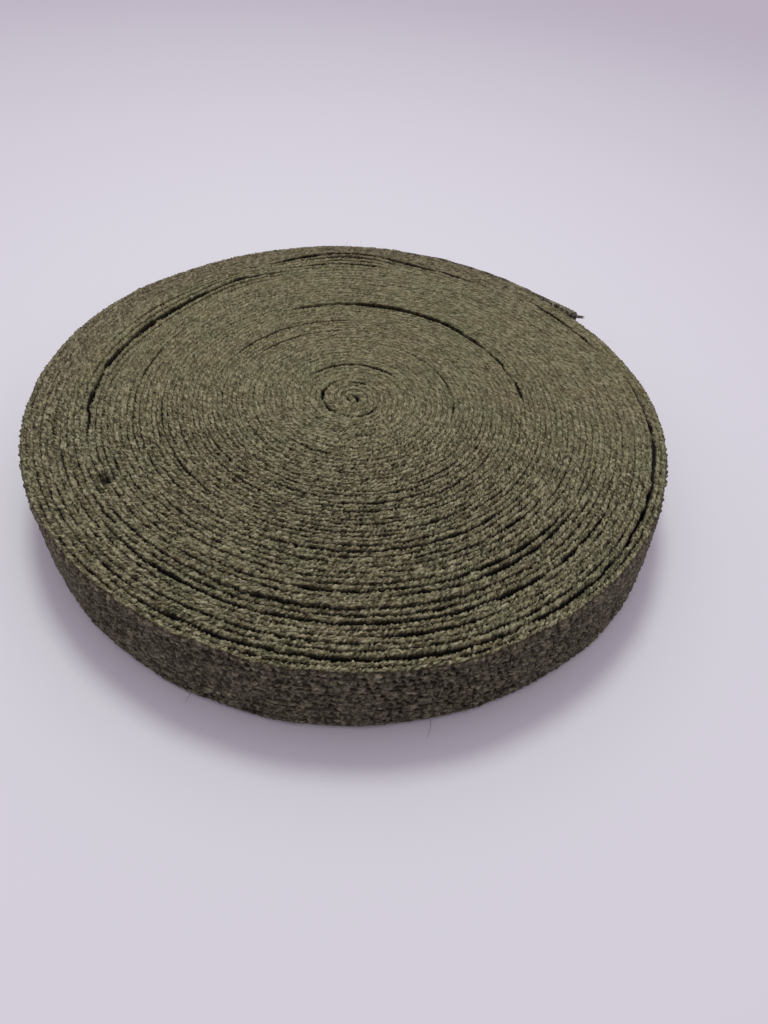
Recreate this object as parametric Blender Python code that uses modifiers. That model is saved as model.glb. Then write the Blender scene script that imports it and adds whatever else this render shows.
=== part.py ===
"""A roll of herringbone twill tape that lies on its side.

One long woollen tape, 15 mm wide, is wound flat on itself until the roll is
about 113 mm across. The roll is one solid of its wound form: its upper face is
a spiral sheet whose rings follow the turns, with the gaps, proud turns and
dents that the winding left, and its underside is flat. The last stretch of the
tape, up to its cut end, is a sheet of its own that lies on the outermost turn
and lifts off at the tip.

Lengths are in metres and angles in degrees, anticlockwise from +X as seen from
above. A turn is a place along the tape, counted in whole windings from the cut
end inwards. From the cut end the tape runs anticlockwise and inwards.
"""

import math

import bpy
import numpy as np

MM = 0.001

# The tape and the roll
TAPE_WIDTH = 15.0 * MM
TAPE_THICKNESS = 1.0 * MM
CUT_END_ANGLE = 40.0
EYE = (-0.2 * MM, 1.1 * MM)  # middle of the winding, seen from the middle of the roll

# Radius of the winding's outer face, by turn: loose outside, tight in the middle
WINDING = (
    # turn, radius
    (0.0, 56.6 * MM),
    (17.0, 38.6 * MM),
    (21.0, 34.6 * MM),
    (37.0, 20.9 * MM),
    (41.0, 17.2 * MM),
    (48.0, 10.2 * MM),
    (56.0, 1.6 * MM),
)

# Rim of the roll as seen from above, once round from the cut end
OUTLINE = (
    # angle, radius from the eye
    (40.0, 55.6 * MM),
    (65.0, 55.6 * MM),
    (90.0, 55.4 * MM),
    (115.0, 54.6 * MM),
    (135.0, 54.1 * MM),
    (150.0, 55.0 * MM),
    (180.0, 55.7 * MM),
    (205.0, 56.2 * MM),
    (230.0, 56.2 * MM),
    (250.0, 56.8 * MM),
    (270.0, 57.6 * MM),
    (290.0, 57.6 * MM),
    (310.0, 56.8 * MM),
    (340.0, 56.0 * MM),
    (360.0, 56.1 * MM),
    (380.0, 55.4 * MM),
    (399.0, 54.5 * MM),
)
OUTLINE_FADE = 1.5  # power by which inner turns lose the rim's unevenness
CORNER_REACH = 9  # degrees over which the corner at each row is rounded off

# How far the foot of the outer wall stands out past its top
WALL_LEAN = (
    # angle, distance
    (60.0, 0.0),
    (235.0, 0.2 * MM),
    (275.0, -0.2 * MM),
    (315.0, 0.7 * MM),
    (335.0, 0.7 * MM),
    (360.0, 0.2 * MM),
    (385.0, 0.0),
)

# Places where whole turns were pushed out or in
SHIFTS = (
    # angle, half_angle, radius, half_radius, shift
    (88.0, 13.0, 49.0 * MM, 8.0 * MM, 1.0 * MM),
    (148.0, 48.0, 44.0 * MM, 7.0 * MM, -0.8 * MM),
)

# Gaps that stand open between two turns
GAPS = (
    # from_angle, to_angle, radius, width, depth
    (235.0, 380.0, 54.8 * MM, 0.9 * MM, 2.2 * MM),
    (20.0, 58.0, 52.0 * MM, 0.8 * MM, 1.6 * MM),
    (268.0, 302.0, 51.4 * MM, 0.7 * MM, 1.6 * MM),
    (88.0, 140.0, 50.0 * MM, 0.8 * MM, 1.6 * MM),
    (228.0, 337.0, 50.0 * MM, 0.7 * MM, 1.6 * MM),
    (247.0, 332.0, 45.5 * MM, 0.7 * MM, 1.8 * MM),
    (247.0, 332.0, 44.4 * MM, 0.9 * MM, 2.0 * MM),
    (106.0, 207.0, 44.8 * MM, 1.6 * MM, 3.0 * MM),
    (282.0, 328.0, 39.7 * MM, 0.7 * MM, 1.6 * MM),
    (150.0, 215.0, 38.5 * MM, 0.4 * MM, 1.0 * MM),
    (258.0, 322.0, 36.7 * MM, 0.9 * MM, 2.2 * MM),
    (185.0, 240.0, 33.4 * MM, 0.4 * MM, 1.0 * MM),
    (295.0, 328.0, 32.6 * MM, 0.5 * MM, 1.2 * MM),
    (6.0, 113.0, 30.5 * MM, 1.0 * MM, 2.2 * MM),
    (84.0, 162.0, 25.1 * MM, 0.5 * MM, 1.2 * MM),
    (295.0, 350.0, 23.9 * MM, 0.4 * MM, 1.0 * MM),
    (92.0, 160.0, 21.1 * MM, 0.4 * MM, 1.0 * MM),
    (340.0, 426.0, 18.4 * MM, 0.4 * MM, 1.0 * MM),
    (220.0, 265.0, 15.3 * MM, 0.4 * MM, 0.8 * MM),
    (50.0, 126.0, 9.5 * MM, 0.6 * MM, 1.2 * MM),
    (135.0, 250.0, 5.4 * MM, 0.5 * MM, 1.2 * MM),
)
GAP_FADE = 14.0  # angle over which a gap opens and closes
SEARCH_STEP = 0.05  # turns between the places tried when a gap is set between two turns
PUSH_OUT = 0.35  # share of a gap's width that comes from the turns outside it
PUSH_REACH = 3.0  # turns over which a gap presses its neighbours together
GROOVE_DEPTH = 0.35 * MM  # between any two turns

# Turns that stand above or below their neighbours
RISES = (
    # from_angle, to_angle, radius, half_width, rise
    (205.0, 318.0, 46.8 * MM, 1.6 * MM, 0.7 * MM),
    (112.0, 205.0, 47.5 * MM, 3.0 * MM, 0.5 * MM),
    (105.0, 200.0, 42.6 * MM, 2.5 * MM, -0.5 * MM),
    (40.0, 118.0, 29.2 * MM, 1.6 * MM, 0.6 * MM),
    (60.0, 118.0, 49.5 * MM, 2.5 * MM, 0.5 * MM),
    (235.0, 345.0, 52.9 * MM, 1.6 * MM, 0.3 * MM),
)
RISE_FADE = 25.0

# A dent pressed into the upper face, and the hollow at the eye
DENT_ANGLE = 215.5
DENT_RADIUS = 45.0 * MM
DENT_REACH = 2.0 * MM
DENT_DEPTH = 1.4 * MM
EYE_HOLLOW_DEPTH = 1.3 * MM

# The roll's solid
SECTORS = 48
RING_TURNS = 54
SELVEDGE_ROUND = 0.3 * MM
SELVEDGE_HEIGHT = 0.6 * MM
SHARP_ANGLE = 50.0  # steeper edges stay sharp

# The loose end's sheet
LOOSE_SPAN = 44.0  # angle from its root to the cut end
CLEARANCE = 0.3 * MM
ROOT_CLEARANCE_ANGLE = 0.5
LIFT_SPAN = 11.0  # angle over which the tip leaves the roll
TIP_LIFT = 1.2 * MM
CUT_SLANT = 0.8 * MM
LOOSE_FOOT = 0.02 * MM  # height of its lower edge
LOOSE_STEP = 2.0  # angle between two sections

OLIVE = (0.105, 0.098, 0.062, 1.0)
ROUGHNESS = 0.9
METALLIC = 0.0

CIRCLE = 360.0


def closed_ring(rows):
    """One value for each degree round the roll, with the corners between rows rounded off."""
    angles, values = zip(*rows)
    ring = np.interp(np.arange(CIRCLE), angles, values, period=CIRCLE)
    window = np.hanning(2 * CORNER_REACH + 1)
    around = np.concatenate([ring[-CORNER_REACH:], ring, ring[:CORNER_REACH]])
    smooth = np.convolve(around, window / window.sum(), mode="valid")
    return np.append(smooth, smooth[0])


def ring_value(ring, angle):
    return np.interp(np.mod(angle, CIRCLE), np.arange(CIRCLE + 1), ring)


def circle_radius(turn):
    """Radius of an even winding at this turn."""
    turns, radii = zip(*WINDING)
    return np.interp(turn, turns, radii)


def turn_at_rim(angle):
    return (angle - CUT_END_ANGLE) / CIRCLE


UNEVENNESS = closed_ring(
    [(angle, radius / circle_radius(turn_at_rim(angle)) - 1.0) for angle, radius in OUTLINE]
)
LEAN = closed_ring(WALL_LEAN)


def from_middle(angle, middle):
    """Signed angle from the middle of a feature, between -180 and 180."""
    return np.mod(angle - middle + 0.5 * CIRCLE, CIRCLE) - 0.5 * CIRCLE


def bell(offset, half_width):
    """1 in the middle, falling smoothly to 0 at half_width and beyond."""
    part = np.clip(np.abs(offset) / half_width, 0.0, 1.0)
    return 0.5 + 0.5 * np.cos(math.pi * part)


def span(angle, start, end, fade):
    """1 between two angles, 0 outside them, with soft ends."""
    beyond = np.abs(from_middle(angle, 0.5 * (start + end))) - 0.5 * (end - start) + fade
    return bell(np.maximum(beyond, 0.0), fade)


def even_radius(turn, angle):
    """Radius of the tape's outer face at this turn, before the gaps push it."""
    even = circle_radius(turn)
    fade = (even / circle_radius(0.0)) ** OUTLINE_FADE
    radius = even * (1.0 + ring_value(UNEVENNESS, angle) * fade)
    for middle, half_angle, shift_radius, half_radius, shift in SHIFTS:
        near = bell(from_middle(angle, middle), half_angle) * bell(even - shift_radius, half_radius)
        radius = radius + shift * near
    return radius


def turn_through(radius, angle):
    """The turn whose outer face passes through a point, as a number that needn't be whole."""
    turns = np.arange(0.0, WINDING[-1][0], SEARCH_STEP)
    radii = even_radius(turns, angle)
    return np.interp(-radius, -radii, turns)


def turns_inside_gap(turn, angle, gap):
    """Whole turns from a gap inwards: 0 for the tape just inside it, -1 for the tape just outside."""
    start, end, radius = gap[:3]
    middle = 0.5 * (start + end)
    winding = round(float(turn_through(radius, middle)) - turn_at_rim(middle))
    return turn - winding - turn_at_rim(middle + from_middle(angle, middle))


def gap_push(turn, angle):
    """How far the gaps move the tape at this turn, outwards positive."""
    push = np.zeros_like(turn)
    for gap in GAPS:
        start, end, _, width, _ = gap
        inside = turns_inside_gap(turn, angle, gap)
        side = np.where(inside > -0.5, PUSH_OUT - 1.0, PUSH_OUT)
        reach = np.exp(-np.abs(inside + 0.5) / PUSH_REACH)
        push = push + side * width * reach * span(angle, start, end, GAP_FADE)
    return push


def gap_at(turn, angle):
    """Width and depth of the gap on the outer side of the tape at this turn."""
    open_width = np.zeros_like(turn)
    open_depth = np.zeros_like(turn)
    for gap in GAPS:
        start, end, _, width, depth = gap
        here = span(angle, start, end, GAP_FADE) * (np.abs(turns_inside_gap(turn, angle, gap)) < 0.5)
        open_width = np.maximum(open_width, width * here)
        open_depth = np.maximum(open_depth, depth * here)
    return open_width, open_depth


def tape_radius(turn, angle):
    """Radius of the tape's outer face at this turn."""
    return even_radius(turn, angle) + gap_push(turn, angle)


def face_rise(radius, angle):
    """Height of the upper face above the tape's width, without the gaps."""
    rise = np.zeros_like(radius)
    for start, end, middle, half_width, height in RISES:
        rise = rise + height * span(angle, start, end, RISE_FADE) * bell(radius - middle, half_width)
    across = np.radians(from_middle(angle, DENT_ANGLE)) * DENT_RADIUS
    rise = rise - DENT_DEPTH * bell(np.hypot(across, radius - DENT_RADIUS), DENT_REACH)
    return rise


def to_plan(radius, angle):
    """X and Y of points given by radius and angle from the eye."""
    return EYE[0] + radius * np.cos(np.radians(angle)), EYE[1] + radius * np.sin(np.radians(angle))


def points(radius, angle, height):
    x, y = to_plan(radius, angle)
    return np.column_stack([x, y, np.broadcast_to(height, np.shape(x))])


def winding_lines():
    """Radius, angle and height along the grooves between the turns and along the crests of the tape."""
    count = SECTORS * RING_TURNS + 1
    turn = LOOSE_SPAN / CIRCLE + np.arange(count) / SECTORS
    angle = CUT_END_ANGLE + turn * CIRCLE
    outer = tape_radius(turn, angle)
    open_width, open_depth = gap_at(turn, angle)
    groove_radius = outer + 0.5 * open_width
    groove_height = TAPE_WIDTH + face_rise(groove_radius, angle) - GROOVE_DEPTH - open_depth
    groove_radius[: SECTORS + 1] = outer[: SECTORS + 1]
    groove_height[: SECTORS + 1] = TAPE_WIDTH - GROOVE_DEPTH

    taped = slice(0, count - SECTORS)
    pitch = circle_radius(turn[taped]) - circle_radius(turn[taped] + 1.0)
    crest_radius = outer[taped] - 0.5 * pitch
    crest_height = TAPE_WIDTH + face_rise(crest_radius, angle[taped])
    return (groove_radius, angle, groove_height), (crest_radius, angle[taped], crest_height)


def roll_mesh():
    """The wound form: spiral upper face, outer wall with the step of the last turn, flat underside."""
    groove, crest = winding_lines()
    rim_radius = np.append(groove[0][: SECTORS + 1], crest[0][0])
    rim_angle = np.append(groove[1][: SECTORS + 1], crest[1][0])
    foot_radius = rim_radius + ring_value(LEAN, rim_angle)
    levels = (
        # radius, height
        (rim_radius + 0.5 * SELVEDGE_ROUND, TAPE_WIDTH - SELVEDGE_HEIGHT),
        (foot_radius + 0.5 * SELVEDGE_ROUND, SELVEDGE_HEIGHT),
        (foot_radius - 0.5 * SELVEDGE_ROUND, 0.0),
    )
    rows = [points(radius, rim_angle, height) for radius, height in levels]
    middle = np.array([[EYE[0], EYE[1], TAPE_WIDTH - EYE_HOLLOW_DEPTH]])
    vertices = np.concatenate([points(*groove), points(*crest), *rows, middle])

    first_crest = len(groove[0])
    first_row = first_crest + len(crest[0])
    middle_index = len(vertices) - 1
    faces = []
    for i in range(len(crest[0]) - 1):
        faces.append((i, i + 1, first_crest + i + 1, first_crest + i))
        faces.append((first_crest + i, first_crest + i + 1, i + 1 + SECTORS, i + SECTORS))
    hollow = list(range(first_crest - 1 - SECTORS, first_crest)) + [first_row - 1]
    for here, after in zip(hollow, hollow[1:] + hollow[:1]):
        faces.append((here, after, middle_index))

    size = len(rim_radius)
    upper = list(range(size - 1)) + [first_crest]
    for row in range(len(rows)):
        lower = [first_row + row * size + i for i in range(size)]
        for i in range(size):
            after = (i + 1) % size
            faces.append((upper[i], lower[i], lower[after], upper[after]))
        upper = lower
    faces.append(tuple(reversed(upper)))

    mesh = bpy.data.meshes.new("wound_roll")
    mesh.from_pydata(vertices.tolist(), [], faces)
    return mesh


def loose_end_mesh():
    """The middle surface of the last stretch of tape, from its root to the cut end."""
    along = np.arange(ROOT_CLEARANCE_ANGLE, LOOSE_SPAN + 0.5 * LOOSE_STEP, LOOSE_STEP)
    angle = CUT_END_ANGLE + LOOSE_SPAN - along
    under = tape_radius(turn_at_rim(angle) + 1.0, angle)
    proud = SELVEDGE_ROUND * 0.5 + CLEARANCE + 0.5 * TAPE_THICKNESS
    lift = np.clip((along - LOOSE_SPAN + LIFT_SPAN) / LIFT_SPAN, 0.0, 1.0) ** 2
    radius = under + proud + TIP_LIFT * lift
    slant = np.degrees(CUT_SLANT / radius[-1]) * lift
    lower = points(radius, angle, LOOSE_FOOT)
    upper = points(radius, angle - slant, TAPE_WIDTH)
    count = len(angle)
    faces = [(i, count + i, count + i + 1, i + 1) for i in range(count - 1)]
    mesh = bpy.data.meshes.new("loose_end")
    mesh.from_pydata(np.concatenate([lower, upper]).tolist(), [], faces)
    return mesh


def twill_material(name):
    material = bpy.data.materials.new(name)
    material.use_nodes = True
    shader = material.node_tree.nodes["Principled BSDF"]
    shader.inputs["Base Color"].default_value = OLIVE
    shader.inputs["Roughness"].default_value = ROUGHNESS
    shader.inputs["Metallic"].default_value = METALLIC
    material.diffuse_color = OLIVE
    return material


def add_part(mesh, collection):
    part = bpy.data.objects.new(mesh.name, mesh)
    mesh.materials.append(twill_material(mesh.name + "_twill"))
    mesh.shade_smooth()
    collection.objects.link(part)
    return part


def clear_scene():
    for leftover in list(bpy.data.objects):
        bpy.data.objects.remove(leftover, do_unlink=True)


def main():
    clear_scene()
    collection = bpy.data.collections.new("twill_tape_roll")
    bpy.context.scene.collection.children.link(collection)
    roll = add_part(roll_mesh(), collection)
    roll.data.set_sharp_from_angle(angle=math.radians(SHARP_ANGLE))
    loose_end = add_part(loose_end_mesh(), collection)
    thickness = loose_end.modifiers.new("thickness", "SOLIDIFY")
    thickness.thickness = TAPE_THICKNESS
    thickness.offset = 0.0
    thickness.use_even_offset = True


main()
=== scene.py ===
# %% [markdown]
# # A roll of herringbone twill tape
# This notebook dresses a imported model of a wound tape: 15 mm wide, 1 mm thick and about 10 m long.
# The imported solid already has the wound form. Here the same winding is walked again, and every turn
# gets the beaded edge, the weave and the stray wool that a woven tape has.
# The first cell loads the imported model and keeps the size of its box.

# %% Load the frame
import math

import bpy
import numpy as np
from mathutils import Euler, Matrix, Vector


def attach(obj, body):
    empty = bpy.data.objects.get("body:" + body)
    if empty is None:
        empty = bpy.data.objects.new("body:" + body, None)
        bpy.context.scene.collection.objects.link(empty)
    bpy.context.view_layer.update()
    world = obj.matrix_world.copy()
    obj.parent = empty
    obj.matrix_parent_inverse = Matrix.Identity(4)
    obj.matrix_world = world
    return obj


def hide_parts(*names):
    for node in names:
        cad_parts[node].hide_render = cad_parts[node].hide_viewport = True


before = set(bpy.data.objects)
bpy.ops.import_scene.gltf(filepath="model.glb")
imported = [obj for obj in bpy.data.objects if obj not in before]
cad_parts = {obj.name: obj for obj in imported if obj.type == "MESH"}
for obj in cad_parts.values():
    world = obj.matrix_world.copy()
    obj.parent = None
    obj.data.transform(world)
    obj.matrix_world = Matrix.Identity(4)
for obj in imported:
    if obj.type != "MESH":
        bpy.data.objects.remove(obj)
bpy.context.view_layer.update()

print("solids:", sorted(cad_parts))

# %% [markdown]
# ## The winding in numbers
# On the real roll a hand or a machine wound the tape, so the turns are loose outside and tight inside,
# and some were pushed out, pulled in, lifted or parted. A list of rings could be modelled one by one,
# but a spiral given by a few short tables keeps the tape in one length, as it is.
# A turn counts whole windings from the cut end inwards. Angles are in degrees, anticlockwise from +X.

# %% Tables of the winding
MM = 0.001
CIRCLE = 360.0
TAPE_WIDTH = 15.0 * MM
TAPE_THICKNESS = 1.0 * MM
CUT_END_ANGLE = 40.0
EYE = (-0.2 * MM, 1.1 * MM)  # middle of the winding

WINDING = (
    # turn, radius in mm
    (0, 56.6), (17, 38.6), (21, 34.6), (37, 20.9), (41, 17.2), (48, 10.2), (56, 1.6),
)
OUTLINE = (
    # angle, radius in mm
    (40, 55.6), (65, 55.6), (90, 55.4), (115, 54.6), (135, 54.1), (150, 55.0), (180, 55.7),
    (205, 56.3), (230, 56.6), (250, 57.0), (270, 57.6), (290, 57.6), (310, 56.8), (340, 56.0),
    (360, 56.1), (380, 55.4), (399, 54.5),
)
OUTLINE_FADE = 1.5  # power by which inner turns lose the rim's unevenness
CORNER_REACH = 9  # degrees over which each corner of a ring is rounded off
WALL_LEAN = (
    # angle, distance in mm by which the foot of the wall stands out
    (60, 0.0), (192, 0.0), (208, -0.6), (224, -0.7), (242, -0.2), (275, -0.3), (288, -0.6),
    (302, -0.1), (322, 0.7), (338, 0.9), (360, 0.2), (385, 0.0),
)
SHIFTS = (
    # angle, half angle, radius, half radius, shift in mm
    (98, 24, 49, 7, 1.5), (155, 30, 44, 7, -0.8), (126, 24, 45, 6, 1.0),
)
GAPS = (
    # from angle, to angle, radius, width in mm
    (235, 380, 54.8, 0.9), (20, 58, 52.0, 0.8), (268, 302, 51.4, 0.7), (58, 150, 50.0, 1.0),
    (228, 337, 50.0, 0.7), (247, 332, 45.5, 0.7), (247, 332, 44.4, 0.9), (108, 207, 44.8, 1.2),
    (282, 328, 39.7, 0.7), (150, 215, 38.5, 0.4), (258, 322, 36.7, 0.9), (185, 240, 33.4, 0.4),
    (295, 328, 32.6, 0.5), (2, 125, 30.5, 1.1), (84, 162, 25.1, 0.6), (295, 350, 23.9, 0.4),
    (92, 160, 21.1, 0.4), (340, 426, 18.4, 0.4), (220, 265, 15.3, 0.4), (42, 150, 10.0, 0.65),
    (125, 338, 4.9, 0.65), (415, 472, 4.4, 0.5), (80, 122, 47.6, 0.8),
)
GAP_FADE = 14.0  # degrees over which a gap opens and closes
GAP_SHARE = 0.40  # the ragged wool closes most of each gap
SEARCH_STEP = 0.05  # turns between the places tried for a gap
PUSH_OUT = 0.35  # share of a gap's width that comes from the turns outside it
PUSH_REACH = 3.0  # turns over which a gap presses its neighbours together
RISES = (
    # from angle, to angle, radius, half width, rise in mm
    (205, 318, 46.8, 1.6, 0.7), (112, 205, 47.5, 3.0, 0.5), (105, 200, 42.6, 2.5, -0.5),
    (34, 122, 31.8, 1.7, 0.5), (70, 122, 50.6, 2.5, 0.8), (235, 345, 52.9, 1.6, 0.3),
)
RISE_FADE = 25.0
DENT_ANGLE, DENT_RADIUS, DENT_REACH, DENT_DEPTH = 215.5, 45.0 * MM, 2.1 * MM, 1.2 * MM
EYE_REACH, EYE_HOLLOW = 4.0 * MM, 0.35 * MM
LOOSE_SPAN = 44.0  # degrees from the root of the loose end to the cut


# %% Radius and height of the tape anywhere in the winding
def closed_ring(rows):
    """One value for each degree round the roll, with its corners rounded off."""
    angles, values = zip(*rows)
    ring = np.interp(np.arange(CIRCLE), angles, values, period=CIRCLE)
    window = np.hanning(2 * CORNER_REACH + 1)
    around = np.concatenate([ring[-CORNER_REACH:], ring, ring[:CORNER_REACH]])
    smooth = np.convolve(around, window / window.sum(), mode="valid")
    return np.append(smooth, smooth[0])


def ring_value(ring, angle):
    return np.interp(np.mod(angle, CIRCLE), np.arange(CIRCLE + 1), ring)


def circle_radius(turn):
    turns, radii = zip(*WINDING)
    return np.interp(turn, turns, np.array(radii) * MM)


def turn_at_rim(angle):
    return (angle - CUT_END_ANGLE) / CIRCLE


UNEVENNESS = closed_ring(
    [(angle, radius * MM / circle_radius(turn_at_rim(angle)) - 1.0) for angle, radius in OUTLINE]
)
LEAN = closed_ring([(angle, distance * MM) for angle, distance in WALL_LEAN])


def from_middle(angle, middle):
    return np.mod(angle - middle + 0.5 * CIRCLE, CIRCLE) - 0.5 * CIRCLE


def bell(offset, half_width):
    """1 in the middle, falling smoothly to 0 at half_width and beyond."""
    part = np.clip(np.abs(offset) / half_width, 0.0, 1.0)
    return 0.5 + 0.5 * np.cos(math.pi * part)


def span(angle, start, end, fade):
    """1 between two angles, 0 outside them, with soft ends."""
    beyond = np.abs(from_middle(angle, 0.5 * (start + end))) - 0.5 * (end - start) + fade
    return bell(np.maximum(beyond, 0.0), fade)


def even_radius(turn, angle):
    even = circle_radius(turn)
    fade = (even / circle_radius(0.0)) ** OUTLINE_FADE
    radius = even * (1.0 + ring_value(UNEVENNESS, angle) * fade)
    for middle, half_angle, shift_radius, half_radius, shift in SHIFTS:
        near = bell(from_middle(angle, middle), half_angle)
        near = near * bell(even - shift_radius * MM, half_radius * MM)
        radius = radius + shift * MM * near
    return radius


def turn_through(radius, angle):
    turns = np.arange(0.0, WINDING[-1][0], SEARCH_STEP)
    return np.interp(-radius, -even_radius(turns, angle), turns)


def turns_inside_gap(turn, angle, gap):
    """Whole turns from a gap inwards: 0 for the tape just inside it, -1 for the tape just outside."""
    start, end, radius = gap[:3]
    middle = 0.5 * (start + end)
    winding = round(float(turn_through(radius * MM, middle)) - turn_at_rim(middle))
    return turn - winding - turn_at_rim(middle + from_middle(angle, middle))


def tape_radius(turn, angle):
    """Radius of the tape's outer face, and width of the gap that stands open outside it."""
    radius = even_radius(turn, angle)
    open_width = np.zeros_like(radius)
    for gap in GAPS:
        start, end, _, width = gap
        inside = turns_inside_gap(turn, angle, gap)
        opened = GAP_SHARE * width * MM * span(angle, start, end, GAP_FADE)
        side = np.where(inside > -0.5, PUSH_OUT - 1.0, PUSH_OUT)
        radius = radius + side * opened * np.exp(-np.abs(inside + 0.5) / PUSH_REACH)
        open_width = np.maximum(open_width, opened * (np.abs(inside) < 0.5))
    return radius, open_width


def face_rise(radius, angle):
    """Height of the upper face above the tape's width."""
    rise = np.zeros_like(radius)
    for start, end, middle, half_width, height in RISES:
        near = bell(radius - middle * MM, half_width * MM)
        rise = rise + height * MM * span(angle, start, end, RISE_FADE) * near
    return rise - DENT_DEPTH * dent(radius, angle) - EYE_HOLLOW * bell(radius, EYE_REACH)


def dent(radius, angle):
    across = np.radians(from_middle(angle, DENT_ANGLE)) * DENT_RADIUS
    return bell(np.hypot(across, radius - DENT_RADIUS), DENT_REACH)


def in_plan(radius, angle):
    return EYE[0] + radius * np.cos(np.radians(angle)), EYE[1] + radius * np.sin(np.radians(angle))


front = np.array(270.0)
front_radius = float(tape_radius(turn_at_rim(front), front)[0])
print(f"rim radius {front_radius / MM:.1f} mm at the front")

# %% [markdown]
# ## Walking along the tape
# Everything on the tape repeats by length, not by angle: a bead of the edge is as long in the middle
# of the roll as at its rim. So the spiral is turned into a path that can be asked for its place at any
# length. The path is the tape's middle line, with the direction across it and the room it has there.
# At the eye the tape starts with a short stretch that runs across the middle of its first turn.

# %% The path of the tape's middle line
PATH_STEPS = 120000
THICKEST = 1.06 * MM
EYE_TURN = 54.4  # from here inwards the next table gives the path
EYE_PATH = (
    # turn, radius of the middle line in mm, thickness in mm
    (54.4, 2.79, 1.06), (54.75, 2.22, 1.45), (55.0, 1.97, 1.4), (55.2, 1.84, 1.25), (55.45, 1.62, 1.15),
    (55.6, 1.5, 1.05), (55.67, 1.2, 0.95), (55.7, 0.75, 0.9), (55.715, 0.4, 0.9), (55.725, 0.0, 0.9),
    (55.735, -0.4, 0.85), (55.75, -0.8, 0.72), (55.765, -1.1, 0.7), (55.78, -1.75, 0.8),
)
START_TURN = LOOSE_SPAN / CIRCLE

path_turn = np.linspace(START_TURN, EYE_PATH[-1][0], PATH_STEPS)
path_angle = CUT_END_ANGLE + path_turn * CIRCLE
outer_radius, path_gap_outside = tape_radius(path_turn, path_angle)
next_radius, next_gap = tape_radius(path_turn + 1.0, path_angle)
inner_radius = np.maximum(next_radius + next_gap, outer_radius - THICKEST)
middle_radius = 0.5 * (outer_radius + inner_radius)
half_thickness = 0.5 * (outer_radius - inner_radius)
in_eye = path_turn > EYE_TURN
eye_turns, eye_radii, eye_thickness = np.array(EYE_PATH).T
middle_radius = np.where(in_eye, np.interp(path_turn, eye_turns, eye_radii * MM), middle_radius)
eye_half = np.interp(path_turn, eye_turns, 0.5 * eye_thickness * MM)
half_thickness = np.where(in_eye, eye_half, half_thickness)

path_x, path_y = in_plan(middle_radius, path_angle)
steps = np.hypot(np.diff(path_x), np.diff(path_y))
path_length = np.concatenate([[0.0], np.cumsum(steps)])
slope_x, slope_y = np.gradient(path_x, path_length), np.gradient(path_y, path_length)
path_rise = face_rise(middle_radius, path_angle)
path_dent = dent(middle_radius, path_angle)
print(f"tape in the roll: {path_length[-1]:.2f} m")


# %% Ask the path for a place
def along_path(length, values):
    return np.interp(length, path_length, values)


def place(length, across, height):
    """Points at a length along the tape and a distance across it, outwards positive."""
    x = along_path(length, path_x) + across * along_path(length, slope_y)
    y = along_path(length, path_y) - across * along_path(length, slope_x)
    return np.stack(np.broadcast_arrays(x, y, height), axis=-1)


def wander(length, wavelength, seed):
    """Smooth noise along the tape, mostly between -1 and 1."""
    knots = np.random.default_rng(seed).uniform(-1.0, 1.0, 4 + int(path_length[-1] / wavelength))
    where = np.clip(length / wavelength + 1.0, 0.0, len(knots) - 2.001)
    first = np.floor(where).astype(int)
    part = where - first
    part = part * part * (3.0 - 2.0 * part)
    return 1.4 * (knots[first] * (1.0 - part) + knots[first + 1] * part)


# %% [markdown]
# ## A mesh from a grid of points
# Each part of the tape is a long strip, so its points form a grid: columns along the tape, rows across.
# Modifiers could make it from a curve, but a grid made in code puts each bead where it belongs.
# The strip also gets marks, one number for each point, that the materials read, and a flat map that
# folds the long strip into lines like the lines of a page.

# %% Grid to mesh
UV_NAME = "OFBake"
UV_MARGIN = 0.12  # share of a line's height left free on each side
CAP_START, CAP_WIDTH = 0.02, 0.46  # where a cap lies in its half of the last line


def strip_uv(columns, rows, step, depth):
    """Corners of the flat map for each face of a strip, folded into lines. The last line is left for caps."""
    lines = 1 + max(1, round(math.sqrt(columns * step / depth)))
    per_line = math.ceil(columns / (lines - 1))
    line, spot = np.arange(columns) // per_line, np.arange(columns) % per_line
    corners = []
    for right, up in ((0, 0), (1, 0), (1, 1), (0, 1)):
        u = np.broadcast_to(((spot + right) / per_line)[:, None], (columns, rows))
        share = UV_MARGIN + (1.0 - 2.0 * UV_MARGIN) * (np.arange(rows) + up) / rows
        corners.append(np.stack([u, (line[:, None] + share[None, :]) / lines], axis=-1))
    return np.stack(corners, axis=2), lines


def cap_uv(ring, side, lines):
    """A cap's corners in the last line of the flat map."""
    spread = ring - ring.min(axis=0)
    long_way = spread[:, 2] / spread[:, 2].max()
    short_way = np.hypot(spread[:, 0], spread[:, 1])
    v = (lines - 1 + UV_MARGIN + (1.0 - 2.0 * UV_MARGIN) * short_way / short_way.max()) / lines
    return np.stack([0.5 * side + CAP_START + CAP_WIDTH * long_way, v], axis=-1)


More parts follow.
